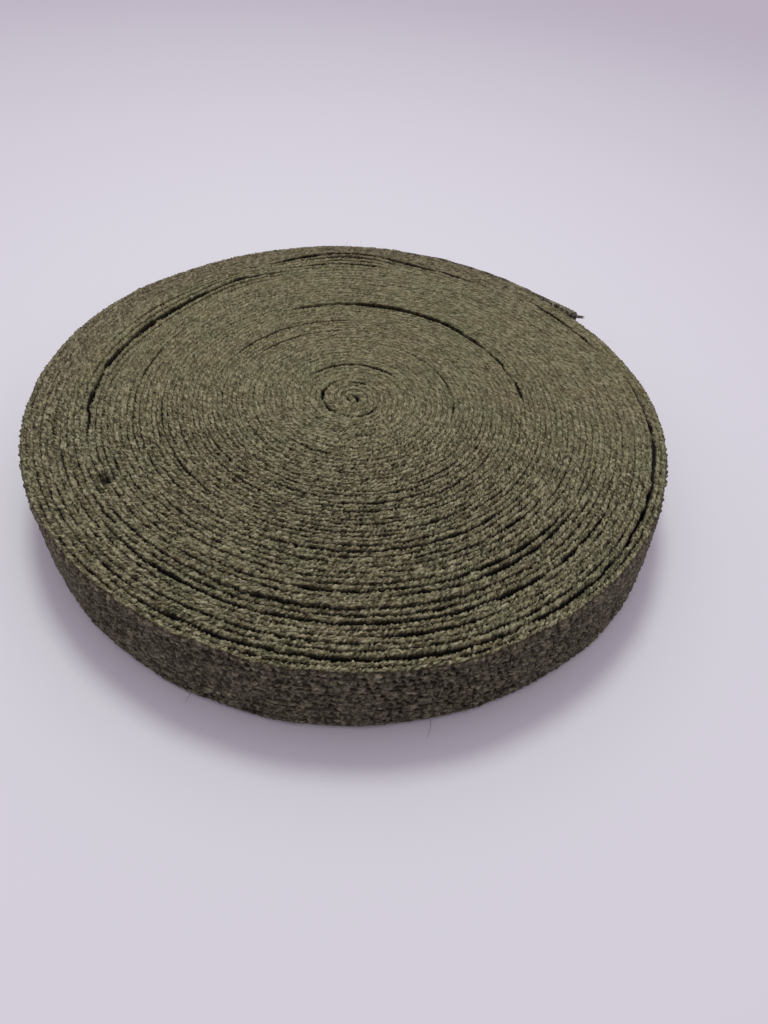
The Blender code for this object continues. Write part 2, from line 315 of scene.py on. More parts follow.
def grid_mesh(name, points, marks, strands, step, depth, closed=False):
    """A smooth mesh from points[column, row], with its marks and the strand's own coordinates.
    A closed one is a band: its rows go round and its ends are capped."""
    columns, rows = points.shape[:2]
    index = np.arange(columns * rows).reshape(columns, rows)
    around = np.concatenate([index, index[:, :1]], axis=1) if closed else index
    faces = np.stack([around[:-1, :-1], around[1:, :-1], around[1:, 1:], around[:-1, 1:]], axis=-1)
    flat_map, lines = strip_uv(faces.shape[0], faces.shape[1], step, depth)
    corners, uv = faces.ravel(), flat_map.reshape(-1, 2)
    starts = np.arange(0, len(corners), 4)
    if closed:
        starts = np.concatenate([starts, [len(corners), len(corners) + rows]])
        corners = np.concatenate([corners, index[0], index[-1][::-1]])
        caps = [cap_uv(points[0], 0, lines), cap_uv(points[-1], 1, lines)[::-1]]
        uv = np.concatenate([uv, *caps])
    mesh = bpy.data.meshes.new(name)
    mesh.vertices.add(columns * rows)
    mesh.vertices.foreach_set("co", points.astype(np.float32).ravel())
    mesh.loops.add(len(corners))
    mesh.loops.foreach_set("vertex_index", corners.astype(np.int32))
    mesh.polygons.add(len(starts))
    mesh.polygons.foreach_set("loop_start", starts.astype(np.int32))
    mesh.uv_layers.new(name=UV_NAME).data.foreach_set("uv", uv.astype(np.float32).ravel())
    for mark, values in marks.items():
        values = np.broadcast_to(values, (columns, rows)).astype(np.float32)
        mesh.attributes.new(mark, "FLOAT", "POINT").data.foreach_set("value", values.ravel())
    strands = np.broadcast_to(strands, (columns, rows, 3)).astype(np.float32)
    mesh.attributes.new("strand", "FLOAT_VECTOR", "POINT").data.foreach_set("vector", strands.ravel())
    mesh.update(calc_edges=True)
    mesh.shade_smooth()
    return mesh


def add_piece(mesh):
    piece = bpy.data.objects.new(mesh.name, mesh)
    bpy.context.scene.collection.objects.link(piece)
    print(f"{piece.name}: {sum(len(face.vertices) - 2 for face in mesh.polygons)} triangles")
    return piece


# %% [markdown]
# ## The upper edges of the turns
# A woven tape ends at each side in a selvedge, where the weft turns back round the last warp threads.
# Seen from above, each turn is two rows of slanted beads about 0.8 mm long, like a thin plait.
# A bump map could paint them, but they catch the light and break the outline, so they are real here.
# The columns of the grid lean with the beads: each bead has its own columns, with a narrow valley.

# %% Beads along the edge
BEAD = 0.8 * MM
BEAD_BACK = (0.0, 0.72, 1.0, 0.80)  # heights of a bead's columns, its valley first
BEAD_LEAN = 0.50 * MM
BEAD_UNEVEN = 0.30 * BEAD  # how far a column strays along the tape
BEAD_SIZES, BEAD_LIFT = (0.30, 1.40), 0.05 * MM
BEAD_SKIPPED, BRIDGE = 0.36, 0.75  # share of the valleys that are bridged, and how high
EDGE_ROWS = (
    # place across (-1 inside, 1 outside), depth in mm, more if slack, more if parted, bead depth
    (-1.0, 1.1, 0.0, 0.2, 0.0),
    (-0.93, 0.05, 0.08, 0.26, 0.46),
    (-0.55, 0.02, 0.02, 0.06, 0.38),
    (0.0, 0.05, 0.03, 0.0, 0.16),
    (0.55, 0.02, 0.02, 0.06, 0.38),
    (0.93, 0.05, 0.08, 0.26, 0.46),
    (1.0, 1.1, 0.0, 0.2, 0.0),
)
SIDE_FROM, SIDE_DEPTH = 0.9, 1.1  # place across from which a row is a side, and its depth in mm
SLACK_ANGLE, SLACK_REACH = 274.0, 116.0  # the front of the roll, in degrees
SLACK_FROM, SLACK_FULL = 12 * MM, 26 * MM  # distances from the eye
CRISP_FROM, CRISP_FULL = 6 * MM, -16 * MM  # places along Y
PRESSED = 0.46  # how high the beads still stand where the turns are pressed together
BROWNER_FROM, BROWNER_FADE, BROWNER_SPAN = 47.5 * MM, 3.0 * MM, (30.0, 215.0, 40.0)
WALL_ROOM = 0.2 * MM  # left free for the outer wall
ROUGH = 0.085 * MM  # how far single points stray
GAP_PARTS = 0.3 * MM  # width from which a gap parts the wool wholly
WOOL_FILLS = 0.45  # share of a gap that a closed stretch of wool fills
SLOW_RISE, SLOW_LENGTH = 0.12 * MM, 24 * MM
QUICK_RISE, QUICK_LENGTH = 0.08 * MM, 4.6 * MM
# painted shade in the dent, and on the sides of turns that part
DENT_SHADE, PARTED_SHADE = 0.85, 0.30
PULL = 0.33  # how far a parted side draws back, as a share of half the thickness
NOTCH = 0.22  # how far it draws back between two beads, in the same share
FLUFF = 0.09  # how far it stands out where it leans on its neighbour


def slack(length):
    """1 where the turns lie slack, at the front of the roll, and 0 where they are pressed together."""
    angle, radius = along_path(length, path_angle), along_path(length, middle_radius)
    outside = np.clip((radius - SLACK_FROM) / (SLACK_FULL - SLACK_FROM), 0.0, 1.0)
    return bell(from_middle(angle, SLACK_ANGLE), SLACK_REACH) ** 0.8 * outside


def crisp(length):
    """How clearly the beads stand: fully in the front half and wherever the turns lie slack."""
    front = np.clip((CRISP_FROM - along_path(length, path_y)) / (CRISP_FROM - CRISP_FULL), 0.0, 1.0)
    return np.maximum(slack(length), 0.9 * front)


def bead_columns():
    per_bead = len(BEAD_BACK)
    count = per_bead * (int(path_length[-1] / BEAD) - 1)
    length = BEAD / per_bead * (np.arange(count) + per_bead)
    return length + BEAD_UNEVEN * wander(length, 3.3 * BEAD, 11)


def beads(columns, shift, seed):
    """Height of the back at each column, and each bead's own tone, size and lift."""
    phase = np.arange(columns) + shift
    bead = phase // len(BEAD_BACK)
    random = np.random.default_rng(seed)
    count = bead[-1] + 1
    tone, size = random.uniform(0.0, 1.0, count), random.uniform(*BEAD_SIZES, count)
    lift = random.normal(0.0, BEAD_LIFT, count)
    bridged = random.uniform(0.0, 1.0, count) < BEAD_SKIPPED
    back = np.maximum(np.array(BEAD_BACK)[phase % len(BEAD_BACK)], BRIDGE * bridged[bead])
    return back, tone[bead], size[bead], lift[bead]


def parted(length, seed, loose):
    """How far a turn draws back from its neighbour, in short dashes, from 0 to 1."""
    short = 1.2 * wander(length, 1.1 * MM, seed) + 0.5 * wander(length, 11 * MM, seed + 1)
    return np.clip(1.8 * (short - 0.90 + 1.2 * loose), 0.0, 1.0) * (0.06 + 0.94 * loose)


def browner_outer_turns(length):
    """1 on the outer turns behind and to the left, which are browner and darker."""
    outside = np.clip((along_path(length, middle_radius) - BROWNER_FROM) / BROWNER_FADE, 0.0, 1.0)
    return outside * span(along_path(length, path_angle), *BROWNER_SPAN)


def sway(length):
    return (0.03 + 0.05 * slack(length)) * MM * wander(length, 5.5 * MM, 41)


def edge_grid():
    length = bead_columns()
    inner_beads, outer_beads = beads(len(length), 0, 12), beads(len(length), 2, 13)
    random = np.random.default_rng(15)
    marks = {"valley": [], "depth": [], "tone": [], "slack": [], "browner_outer_turns": []}
    points, strands = [], []
    for across, depth, slack_depth, parted_depth, tall in EDGE_ROWS:
        back, tone, size, lift = inner_beads if across < 0 else outer_beads
        at = np.clip(length - BEAD_LEAN * across, 0.0, path_length[-1])
        loose = slack(at)
        gap = along_path(at, next_gap if across < 0 else path_gap_outside)
        gone = parted(at, 21 if across < 0 else 31, loose)
        bare = np.clip(0.75 + 0.8 * wander(at, 2.6 * MM, 36), 0.0, 1.0)
        gone = np.maximum(gone, np.clip(gap / GAP_PARTS, 0.0, 1.0) * bare) * (across != 0)
        strength = PRESSED + (1.0 - PRESSED) * crisp(at)
        shown, is_side = abs(across) < 1.0, abs(across) > SIDE_FROM
        notch = (1.0 - back) * size * strength * is_side
        side = across * (1.0 + FLUFF - (PULL + FLUFF) * across ** 2 * gone - NOTCH * notch)
        sideways = side * along_path(at, half_thickness) + sway(at)
        sideways = sideways + WOOL_FILLS * gap * (1.0 - bare) * np.sign(across) * is_side
        sideways = sideways + random.normal(0.0, ROUGH, len(at)) * shown
        if across > SIDE_FROM:
            sideways = sideways - WALL_ROOM * (at < wall_length)
        rise = along_path(at, path_rise) + SLOW_RISE * wander(at, SLOW_LENGTH, 51) * loose
        rise = rise + (QUICK_RISE * wander(at, QUICK_LENGTH, 52) + lift * shown) * strength
        sunk = depth + slack_depth * loose + parted_depth * gone
        height = TAPE_WIDTH + rise - (sunk + tall * (1.0 - back) * size * strength) * MM
        height = height + random.normal(0.0, ROUGH, len(at)) * shown * strength
        points.append(place(at, sideways, height))
        strands.append(np.stack([length, sideways, height - TAPE_WIDTH], axis=-1))
        # painted shade: the valley mark darkens the fibres between beads
        valley = (1.0 - back) * size * np.interp(abs(across), (0.0, 0.55), (0.5, 1.0))
        marks["valley"].append(np.clip(valley, 0.0, 1.0))
        # painted shade: darker the deeper a row lies, in the dent, and on the sides where turns part
        shade = sunk / SIDE_DEPTH + DENT_SHADE * along_path(at, path_dent)
        shade = shade + PARTED_SHADE * gone * is_side
        marks["depth"].append(np.clip(shade, 0.0, 1.0))
        marks["tone"].append(tone)
        marks["slack"].append(strength)
        marks["browner_outer_turns"].append(browner_outer_turns(at))
    marks = {name: np.stack(values, axis=1) for name, values in marks.items()}
    return np.stack(points, axis=1), marks, np.stack(strands, axis=1)


wall_length = float(np.interp(START_TURN + 1.0, path_turn, path_length))
edge_points, edge_marks, edge_strands = edge_grid()
print("columns of beads:", len(edge_points))

# %% Cut the edges into four pieces
EDGE_PIECES = 4
EDGE_STEP, EDGE_PROFILE = 0.2 * MM, 3.0 * MM


def cut_edges():
    cuts = np.linspace(0, len(edge_points) - 1, EDGE_PIECES + 1).astype(int)
    pieces = []
    for number, (first, last) in enumerate(zip(cuts[:-1], cuts[1:])):
        part = slice(first, last + 1)
        marks = {name: values[part] for name, values in edge_marks.items()}
        name = f"turn_edges_{number + 1}"
        strands = edge_strands[part]
        mesh = grid_mesh(name, edge_points[part], marks, strands, EDGE_STEP, EDGE_PROFILE)
        pieces.append(add_piece(mesh))
    return pieces


edge_pieces = cut_edges()

# %% [markdown]
# ## The underside
# The lower selvedge is the same row of beads, pressed flat by the table. It is only seen when the roll
# is turned over, so it has one crest and one valley for each bead, and no slant.

# %% Lower edges of the turns
UNDER_STEP, UNDER_PROFILE = 0.9 * MM, 4.0 * MM
UNDER_SHADED = 1.4  # height in mm from which it is wholly in shade
UNDER_ROWS = (
    # place across, height above the table in mm, bead depth in mm
    (1.0, 14.2, 0.0),
    (0.9, 0.35, 0.1),
    (0.5, 0.04, 0.2),
    (-0.5, 0.04, 0.2),
    (-0.9, 0.35, 0.1),
    (-1.0, 14.2, 0.0),
)


def underside():
    length = np.arange(0.0, path_length[-1], UNDER_STEP)
    valley = np.arange(len(length)) % 2
    tone = np.random.default_rng(14).uniform(0.0, 1.0, len(length) // 2 + 1)
    tone = np.repeat(tone, 2)[: len(length)]
    foot = along_path(length, path_turn) < START_TURN + 1.0
    lean = ring_value(LEAN, CUT_END_ANGLE + CIRCLE * along_path(length, path_turn)) * foot
    points, valleys, depths = [], [], []
    for across, height, groove in UNDER_ROWS:
        sideways = across * along_path(length, half_thickness) * 0.99 + sway(length)
        if abs(across) < 1.0:
            sideways = sideways + lean
        if across > 0.5:
            sideways = sideways - WALL_ROOM * foot
        uneven = np.maximum(0.05 * MM * (1.0 + wander(length, 9 * MM, 62)), 0.0)
        if abs(across) == 1.0:
            uneven = np.minimum(along_path(length, path_rise), 0.0)
        points.append(place(length, sideways, (height + groove * valley) * MM + uneven))
        # painted shade: in the valleys between beads and up the sides of the turns
        valleys.append(0.7 * valley)
        depths.append(np.full(len(length), min(1.0, height / UNDER_SHADED)))
    marks = {"valley": np.stack(valleys, axis=1), "depth": np.stack(depths, axis=1)}
    marks.update({"tone": tone[:, None], "slack": 0.7, "browner_outer_turns": 0.0})
    strands = np.stack([length, length * 0.0, length * 0.0], axis=-1)[:, None, :]
    points = np.stack(points, axis=1)
    return grid_mesh("turn_undersides", points, marks, strands, UNDER_STEP, UNDER_PROFILE)


under_piece = add_piece(underside())

# %% [markdown]
# ## The outer wall
# The outside of the last turn shows the face of the tape: a twill, where each warp thread floats over
# the weft and dives, a step further along in each next row. Where the step turns back, in the middle of
# the tape, the lines meet in the points of a herringbone. A bump map could draw that, but the dark pits
# between the floats are what is seen of this wall. So each float is a raised grain with its own
# columns, and the line between two threads is another row, low at its pits and higher between them.

# %% The weave as a relief
WARP_ENDS = 12
WEAVE_COLUMN = 0.20 * MM
FLOAT = (0.28, 0.80, 1.0, 1.0, 1.0, 0.80)  # heights of the columns of a warp float, its dive first
SEAM = (0.0, 0.0, 0.0, 0.12, 0.85, 0.60)  # heights of the line between two threads, its pit first
TWILL_STEP = 2  # columns by which each thread is ahead of the one nearer the middle
FLOAT_JOINED = 0.30  # share of the dives that are hidden, so that two floats look like one
SEAM_JOINED = 0.35  # share of the pits that wool covers, more or less
END_ROWS = (
    # share of the thread's pitch, height (0: the line between two threads), slant in mm
    (0.0, 0.0, -0.08), (0.27, 0.0, 0.0), (0.64, 0.95, 0.12),
)
FOOT_REACH, FOOT_PRESSED = 0.10, 0.6  # the relief is pressed flat along the foot
CREVICE = 0.85  # relief below which a place is in shade
GRAIN_SIZES, GRAIN_STRAY = (0.65, 1.10), 0.9  # heights, and columns by which a dive strays
COVER = (0.35, 0.85)  # how high a covered dive or pit still is
WEAVE_DEPTH = 0.60 * MM
FACE_LOW, FACE_HIGH = 0.25 * MM, 14.62 * MM
WALL_OVERLAP, WALL_STEP = 1.2 * MM, 0.21 * MM
WALL_GRAIN = 0.02 * MM  # how far single points stray
WALL_INSET = 0.24 * MM  # how far the ground of the weave lies inside the tape's face
CURL, CURL_SHARE = 0.35 * MM, 0.03  # how far the edges curl in, over which share of the width


def floats(columns, profile, joined_share, seed):
    """Height and tone of every thread, or of the line beside it, at every column, from 0 to 1."""
    random = np.random.default_rng(seed)
    repeat = len(profile)
    shape = (columns // repeat + WARP_ENDS, WARP_ENDS)
    size, tone = random.uniform(*GRAIN_SIZES, shape), random.uniform(0.0, 1.0, shape)
    shift = random.normal(0.0, GRAIN_STRAY, shape)
    covered = (random.uniform(0.0, 1.0, shape) < joined_share) * random.uniform(*COVER, shape)
    heights, tones = [], []
    for end in range(WARP_ENDS):
        phase = np.arange(columns) + TWILL_STEP * abs(end - WARP_ENDS // 2)
        number = phase // repeat
        part = np.clip(phase % repeat + shift[number, end], 0.0, repeat)
        height = np.interp(part, np.arange(repeat + 1), (*profile, profile[0]))
        heights.append(np.maximum(height, covered[number, end]) * size[number, end])
        tones.append(tone[number, end])
    return np.array(heights), np.array(tones)


def weave_relief(columns, seed):
    """Rows of the tape's face from its lower edge up: height, slant, tone, and share of the width."""
    heights, tones = floats(columns, FLOAT, FLOAT_JOINED, seed)
    seams = floats(columns, SEAM, SEAM_JOINED, seed + 2)[0]
    rows = []
    for end in range(WARP_ENDS):
        direction = -1 if end < WARP_ENDS // 2 else 1
        for share, height, slant in END_ROWS:
            relief = heights[end] * height
            if height == 0.0:
                relief = np.minimum(seams[end], heights[end])
            rows.append((relief, np.full(columns, slant * direction * MM), tones[end], end + share))
    rows.append((0.5 * heights[-1], np.zeros(columns), tones[-1], WARP_ENDS))
    *fields, share = zip(*rows)
    return *(np.stack(field, axis=1) for field in fields), np.array(share) / WARP_ENDS


# %% Build the outer wall
def outer_wall():
    columns = round((wall_length + WALL_OVERLAP) / WEAVE_COLUMN)
    relief, slant, tone, share = weave_relief(columns, 71)
    random = np.random.default_rng(77)
    length = np.linspace(0.0, wall_length + WALL_OVERLAP, columns)[:, None]
    length = length + slant + 0.22 * MM * wander(length + 0.9 * share[None, :], 2.6 * MM, 72)
    length = np.maximum(length, 0.0)
    turn = along_path(length, path_turn)
    angle = CUT_END_ANGLE + CIRCLE * turn
    waver = 0.16 * MM * wander(length + 0.7 * share[None, :], 3.7 * MM, 73)
    low = FACE_LOW + 0.06 * MM * wander(length, 2.2 * MM, 74)
    high = FACE_HIGH + 0.10 * MM * wander(length, 2.0 * MM, 75) + along_path(length, path_rise)
    height = low + share[None, :] * (high - low) + waver * 4.0 * share * (1.0 - share)
    height = height + random.normal(0.0, WALL_GRAIN, height.shape)
    lean = ring_value(LEAN, angle) * (1.0 - share[None, :])
    curl = CURL * np.clip(1.0 - np.minimum(share, 1.0 - share) / CURL_SHARE, 0.0, 1.0)
    belly = 0.10 * MM * wander(length, 11 * MM, 76) * 4.0 * share * (1.0 - share)
    base = along_path(length, half_thickness) - WALL_INSET + sway(length) + lean - curl + belly
    pressed = FOOT_PRESSED * np.clip(1.0 - share / FOOT_REACH, 0.0, 1.0)
    sideways = base + (relief + (0.6 - relief) * pressed) * WEAVE_DEPTH
    sideways = sideways + random.normal(0.0, WALL_GRAIN, height.shape)
    # painted shade in the pits and dives of the weave
    valley = np.clip(1.0 - relief / CREVICE, 0.0, 1.0)
    marks = {"valley": valley, "depth": 0.0, "tone": tone, "slack": 1.0, "browner_outer_turns": 0.0}
    strands = np.stack([length, height, 0.0 * height], axis=-1)
    points = place(length, sideways, height)
    return grid_mesh("outer_wall", points, marks, strands, WALL_STEP, TAPE_WIDTH)


wall_piece = add_piece(outer_wall())

# %% [markdown]
# ## The loose end
# The last 43 mm of the tape aren't held by anything. They lie on the turn below and spring away at the
# cut end. It is a closed band: the woven face outside, plain ribs inside, and a beaded edge above and
# below. Its middle line leaves the roll where the last turn ends, so the two join without a step.

# %% Build the loose end
LIFT_SPAN = 14.0  # degrees over which the tip leaves the roll
TIP_LIFT = 1.3 * MM
TIP_REACH = 0.6  # degrees that the fluffed cut end reaches past the cut
TIP_SWELL = 0.7  # how much thicker the fluffed cut end is
CUT_SLANT = 0.8 * MM
CORNER_SLANT = 0.1  # how far the outer face reaches past the inner one, as a share of the thickness
LOOSE_CLEARANCE = 0.05 * MM
AWAY_SPAN = 12.0  # degrees over which it comes to lie on the turn below
ROOT_OVERLAP = 1.5  # degrees that its root runs into the last turn
NEAR_CUT = 6 * MM
RIB_ROWS, RIB_DEPTH = 20, 0.10 * MM
LOOSE_SHIFT = 20.0  # moves its fibres to another place in the noise


def loose_path():
    """Middle line of the loose end from its root to the cut, and the direction out of it."""
    angle = np.linspace(CUT_END_ANGLE + LOOSE_SPAN + ROOT_OVERLAP, CUT_END_ANGLE - TIP_REACH, 2000)
    own = tape_radius(turn_at_rim(angle), angle)[0] - 0.5 * THICKEST
    under = tape_radius(turn_at_rim(angle) + 1.0, angle)[0] + 0.5 * TAPE_THICKNESS + LOOSE_CLEARANCE
    away = np.clip((CUT_END_ANGLE + LOOSE_SPAN - angle) / AWAY_SPAN, 0.0, 1.0)
    lift = np.clip((CUT_END_ANGLE + LIFT_SPAN - angle) / LIFT_SPAN, 0.0, 1.0) ** 2
    radius = own * (1.0 - away) + np.maximum(own, under) * away + TIP_LIFT * lift
    x, y = in_plan(radius, angle)
    length = np.concatenate([[0.0], np.cumsum(np.hypot(np.diff(x), np.diff(y)))])
    return length, x, y, np.gradient(x, length), np.gradient(y, length)


def loose_ring(columns):
    """Rows round the band's section: out of its middle line, height share, valley mark, relief."""
    relief, slant, tone, share = weave_relief(columns, 81)
    face = 0.5 * TAPE_THICKNESS - 0.2 * MM + relief * WEAVE_DEPTH
    phase = np.arange(columns) / 4.0
    bead = np.clip(1.0 - np.abs(2.0 * (phase % 1.0) - 1.0) ** 3, 0.0, 1.0)
    # painted shade: the valley marks darken the pits of the weave, the valleys between beads and between the
    # ribs
    shade = np.clip(1.0 - relief / CREVICE, 0.0, 1.0)
    zeros, ones = np.zeros(columns), np.ones(columns)
    rows = []
    for i, level in enumerate(share):
        rows.append((face[:, i], level, 0.0, slant[:, i], shade[:, i], tone[:, i]))
    for out, rise in ((0.30, 0.30), (0.0, 0.42), (-0.30, 0.30)):
        back = np.roll(bead, round(2 * out / 0.3))
        top = rise * MM - 0.22 * MM * (1.0 - back)
        rows.append((out * MM * ones, 1.0, top, zeros, 0.7 * (1.0 - back), tone[:, -1]))
    inner = np.linspace(0.985, 0.015, RIB_ROWS)
    for i, level in enumerate(inner):
        rib = RIB_DEPTH * (i % 2)
        rows.append((-0.46 * MM * ones + rib, level, 0.0, zeros, 0.6 * (i % 2) * ones, tone[:, 5]))
    for out, rise in ((-0.30, -0.16), (0.30, -0.16)):
        rows.append((out * MM * ones, 0.0, rise * MM * bead, zeros, 0.6 * (1 - bead), tone[:, 0]))
    return rows


def loose_band():
    way, x, y, dx, dy = loose_path()
    columns = round(way[-1] / WEAVE_COLUMN)
    base = np.linspace(0.0, way[-1], columns)
    near_cut = np.clip((base - way[-1] + NEAR_CUT) / NEAR_CUT, 0.0, 1.0)
    swell = 1.0 + TIP_SWELL * near_cut ** 2
    points, valleys, tones, strands = [], [], [], []
    for out, share, rise, slant, valley, tone in loose_ring(columns):
        reach = CUT_SLANT * (share - 0.5) + CORNER_SLANT * out
        at = np.maximum(base + slant * (near_cut < 1.0) + near_cut * reach, 0.0)
        px, py = np.interp(at, way, x), np.interp(at, way, y)
        beyond = np.maximum(at - way[-1], 0.0)
        px, py = px + beyond * dx[-1], py + beyond * dy[-1]
        nx, ny = -np.interp(at, way, dy), np.interp(at, way, dx)
        high = FACE_HIGH + 0.08 * MM * wander(at + 3.0, 2.0 * MM, 82)
        height = FACE_LOW + share * (high - FACE_LOW) + rise
        points.append(np.stack([px - out * swell * nx, py - out * swell * ny, height], axis=-1))
        strands.append(np.stack([at + LOOSE_SHIFT, height, 0.0 * at], axis=-1))
        valleys.append(valley)
        tones.append(tone)
    points = np.stack(points, axis=1)
    for column, inward in ((0, 1), (-1, -1)):
        points[column] = points[column + inward].mean(axis=0) * 0.06 + points[column] * 0.94
    marks = {"valley": np.stack(valleys, axis=1), "tone": np.stack(tones, axis=1)}
    marks.update({"depth": 0.0, "slack": 1.0, "browner_outer_turns": 0.0})
    mesh = grid_mesh(
        "loose_end_tape", points, marks, np.stack(strands, axis=1), WEAVE_COLUMN, 2 * TAPE_WIDTH, closed=True
    )
    return mesh, way[-1], points[-1]


loose_mesh, loose_length, cut_ring = loose_band()
loose_piece = add_piece(loose_mesh)
print(f"loose end: {loose_length / MM:.1f} mm long")

# %% [markdown]
# ## Frayed yarns and stray wool
# At the cut the warp threads come apart into short tufts, and wool always sheds a few hairs. They could
# be hair particles, but a hundred or a thousand thin tapered threads in one mesh export as they are.
# All threads of a kind are worked out at once: a root, a direction, a bend and a length for each.

# %% Many thin threads in one mesh
THREAD_SIDES = 3
THREAD_JOINTS = 4
THREAD_TAPER = 0.8  # share of its thickness lost at the tip
THREAD_LOWEST = 0.02 * MM


def threads_mesh(name, roots, ways, bends, lengths, radii):
    """Tapered, bent threads. Each way and bend is a direction with its strength, in lengths of the thread."""
    part = np.linspace(0.0, 1.0, THREAD_JOINTS)[None, :, None]
    long = lengths[:, None, None]
    line = roots[:, None, :] + long * (ways[:, None, :] * part + bends[:, None, :] * part ** 2)
    forward = np.gradient(line, axis=1)
    forward /= np.linalg.norm(forward, axis=2, keepdims=True)
    helper = np.where(np.abs(forward[..., 2:]) < 0.9, (0.0, 0.0, 1.0), (1.0, 0.0, 0.0))
    aside = np.cross(forward, helper)
    aside /= np.linalg.norm(aside, axis=2, keepdims=True)
    above = np.cross(forward, aside)
    thick = radii[:, None, None] * (1.0 - THREAD_TAPER * part ** 2)
    rings = []
    for turn in 2.0 * math.pi * np.arange(THREAD_SIDES) / THREAD_SIDES:
        rings.append(line + thick * (math.cos(turn) * aside + math.sin(turn) * above))
    points = np.stack(rings, axis=2).reshape(-1, 3)
    points[:, 2] = np.maximum(points[:, 2], THREAD_LOWEST)
    first = np.arange(len(roots))[:, None, None] * THREAD_JOINTS * THREAD_SIDES
    joint = first + np.arange(THREAD_JOINTS - 1)[None, :, None] * THREAD_SIDES
    side, after = np.arange(THREAD_SIDES), (np.arange(THREAD_SIDES) + 1) % THREAD_SIDES
    further = joint + THREAD_SIDES
    sides = np.stack([joint + side, joint + after, further + after, further + side], axis=-1)
    tip = first[:, 0] + (THREAD_JOINTS - 1) * THREAD_SIDES + side
    root = first[:, 0] + side[::-1]
    faces = sides.reshape(-1, 4).tolist() + tip.tolist() + root.tolist()
    mesh = bpy.data.meshes.new(name)
    mesh.from_pydata(points.tolist(), [], faces)
    mesh.shade_smooth()
    return mesh


def unit(vectors):
    return vectors / np.linalg.norm(vectors, axis=-1, keepdims=True)


# %% Tufts at the cut
TUFTS_PER_END = 9
TUFT_RADIUS, CORNER_RADIUS = 0.07 * MM, 0.25 * MM  # the last tufts stick out at the top corner


def frayed_cut():
    random = np.random.default_rng(91)
    outer = cut_ring[: len(END_ROWS) * WARP_ENDS]
    cut = math.radians(CUT_END_ANGLE)
    out_of_cut = unit(np.array([math.sin(cut), -math.cos(cut), 0.0]))
    outwards = np.array([math.cos(cut), math.sin(cut), 0.0])
    count = WARP_ENDS * TUFTS_PER_END
    at = np.repeat(np.arange(WARP_ENDS) * len(END_ROWS) + 2, TUFTS_PER_END)
    roots = outer[at] - outwards * random.uniform(0.1, 1.25, (count, 1)) * MM - out_of_cut * 0.2 * MM
    roots[:, 2] += random.normal(0.0, 0.12 * MM, count)
    ways = unit(out_of_cut + random.normal(0.0, 0.28, (count, 3)))
    bends = random.normal(0.0, 0.25, (count, 3))
    lengths = random.uniform(0.35, 0.95, count) * MM
    corner = slice(-TUFTS_PER_END, None)
    top_corner = cut_ring[len(outer) + 1]
    spread = outwards * random.uniform(0.2, 0.9, (TUFTS_PER_END, 1)) * MM
    roots[corner] = top_corner + spread - out_of_cut * 0.3 * MM
    roots[corner, 2] -= random.uniform(0.0, 0.2, TUFTS_PER_END) * MM
    ways[corner] = unit(out_of_cut + 0.7 * outwards + random.normal(0.0, 0.07, (TUFTS_PER_END, 3)))
    bends[corner] *= 0.4
    lengths[corner] += 1.0 * MM
    radii = np.full(count, TUFT_RADIUS)
    radii[corner] = CORNER_RADIUS
    return threads_mesh("frayed_cut", roots, ways, bends, lengths, radii)


frayed_piece = add_piece(frayed_cut())

# %% Short hairs all over, and a few long ones at the foot
EDGE_HAIRS, WALL_HAIRS = 2000, 700
LONG_RADIUS = 0.035 * MM
LONG_HAIRS = (
    # angle round the roll, height of the root, length, drop, swing to the left, in mm after the angle
    (252.0, 1.0, 1.8, -0.4, -0.10), (287.5, 0.8, 2.5, -0.3, -0.45), (196.0, 9.0, 1.6, 0.2, 0.3),
    (331.0, 0.9, 1.7, -0.3, -0.4), (120.0, 6.0, 1.8, 0.0, 0.5),
)


def short_hairs():
    random = np.random.default_rng(92)
    flat_edge = edge_points[:, 1:-1].reshape(-1, 3)
    flat_wall = np.array([vertex.co for vertex in wall_piece.data.vertices])
    roots = np.concatenate([
        flat_edge[random.integers(0, len(flat_edge), EDGE_HAIRS)],
        flat_wall[random.integers(0, len(flat_wall), WALL_HAIRS)],
    ])
    count = len(roots)
    outwards = unit((roots - np.array([EYE[0], EYE[1], 0.0])) * (1.0, 1.0, 0.0))
    along = np.stack([-outwards[:, 1], outwards[:, 0], np.zeros(count)], axis=-1)
    on_edge = (np.arange(count) < EDGE_HAIRS)[:, None]
    normal = np.where(on_edge, (0.0, 0.0, 1.0), outwards)
    ways = along * random.choice((-1.0, 1.0), (count, 1))
    ways = unit(ways + random.normal(0.0, 0.45, (count, 3)) + 0.35 * normal)
    bends = random.normal(0.0, 0.35, (count, 3)) - 0.15 * normal
    lengths = random.uniform(0.5, 1.9, count) * MM
    radii = random.uniform(0.010, 0.020, count) * MM
    return threads_mesh("short_hairs", roots, ways, bends, lengths, radii)


def long_hairs():
    rows = np.array(LONG_HAIRS)
    angle = rows[:, 0]
    turn = turn_at_rim(angle + CIRCLE * (angle < CUT_END_ANGLE + LOOSE_SPAN))
    radius = tape_radius(turn, angle)[0] - 0.1 * MM
    x, y = in_plan(radius, angle)
    outwards = np.stack([np.cos(np.radians(angle)), np.sin(np.radians(angle)), 0.0 * angle], axis=-1)
    along = np.stack([-outwards[:, 1], outwards[:, 0], 0.0 * angle], axis=-1)
    ways = unit(outwards + rows[:, 3:4] * (0.0, 0.0, 1.0))
    roots, radii = np.stack([x, y, rows[:, 1] * MM], axis=-1), np.full(len(rows), LONG_RADIUS)
    return threads_mesh("long_hairs", roots, ways, along * rows[:, 4:5], rows[:, 2] * MM, radii)


hair_pieces = [add_piece(short_hairs()), add_piece(long_hairs())]
